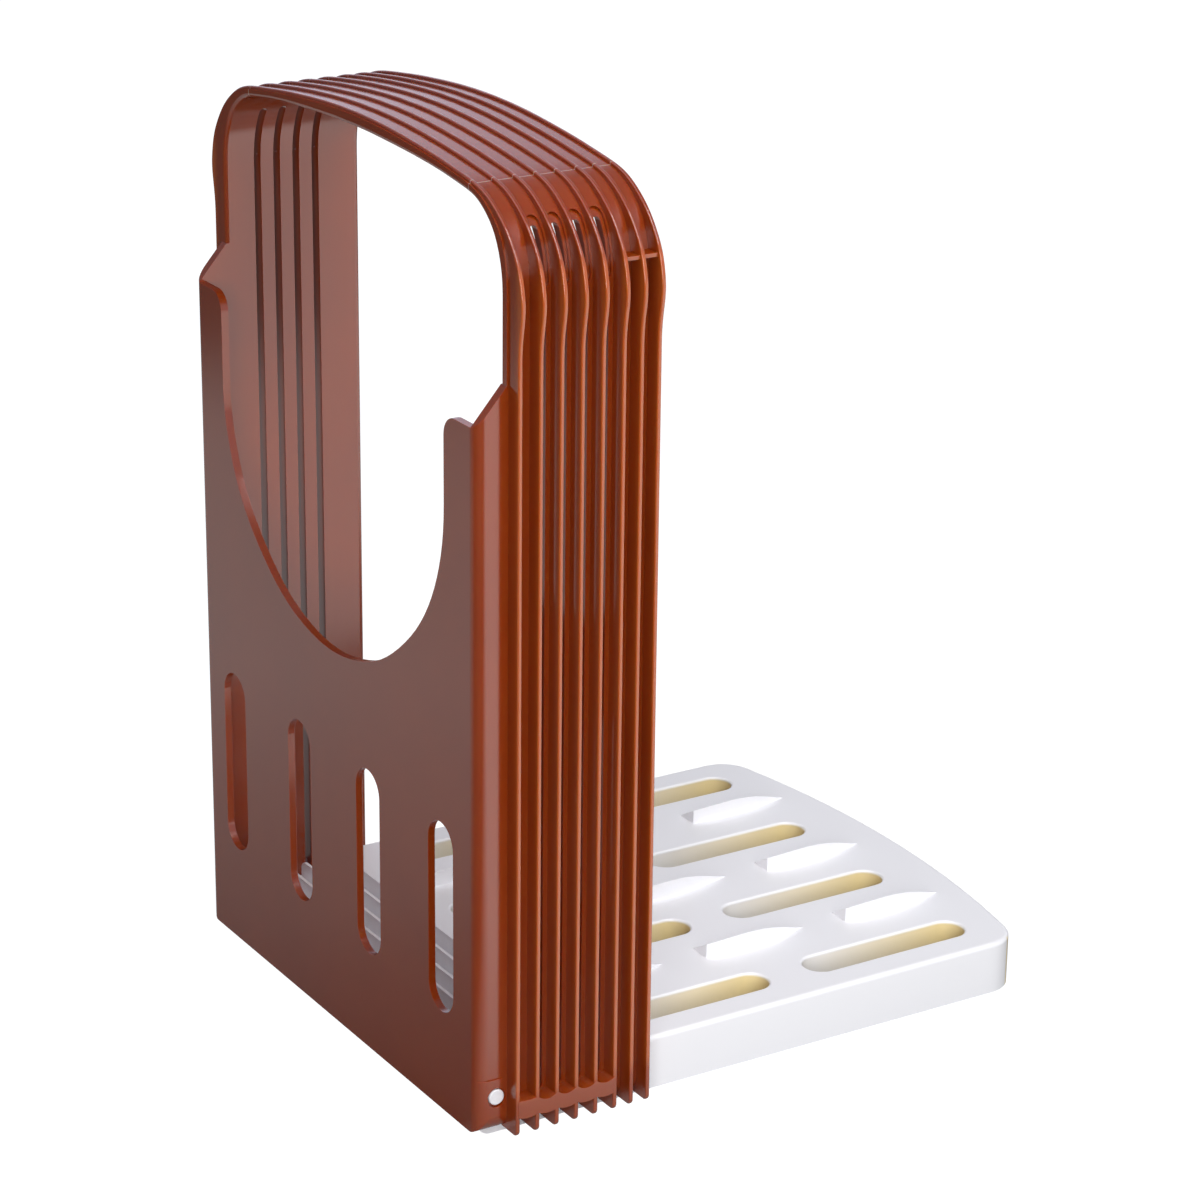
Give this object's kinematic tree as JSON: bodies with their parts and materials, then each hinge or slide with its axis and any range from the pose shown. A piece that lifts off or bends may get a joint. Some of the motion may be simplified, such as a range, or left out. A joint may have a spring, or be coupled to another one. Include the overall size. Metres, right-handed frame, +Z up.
{
  "type": "folding bread slicer guide",
  "caption": "Folding bread slicer guide: an arched ribbed frame with knife slots in both side walls, a front stop panel, and a hinged white base with cleats and knife grooves",
  "frame": {"origin": "centre of the bounding box in X and Y, on the table plane under the base", "axes": "+Z up, +Y from the front stop panel towards the back of the base, +X across the guide to the right seen from the front"},
  "size_m": [0.1562, 0.1728, 0.2366],
  "materials": {
    "frame_plastic": "glossy injection-moulded ABS, chocolate brown",
    "base_plastic": "satin injection-moulded ABS, white",
    "pin_plastic": "smooth moulded plastic, grey white"
  },
  "bodies": {
    "frame_body": {"slicer_frame": "frame_plastic"},
    "base_body": {"folding_base": "base_plastic", "hinge_pin_left": "pin_plastic", "hinge_pin_right": "pin_plastic"}
  },
  "joints": [
    {"name": "base_fold", "type": "hinge", "parent": "frame_body", "child": "base_body", "pos_m": [0, -0.08098, 0.01132], "axis": [1, 0, 0], "range_deg": [0, 84]}
  ]
}
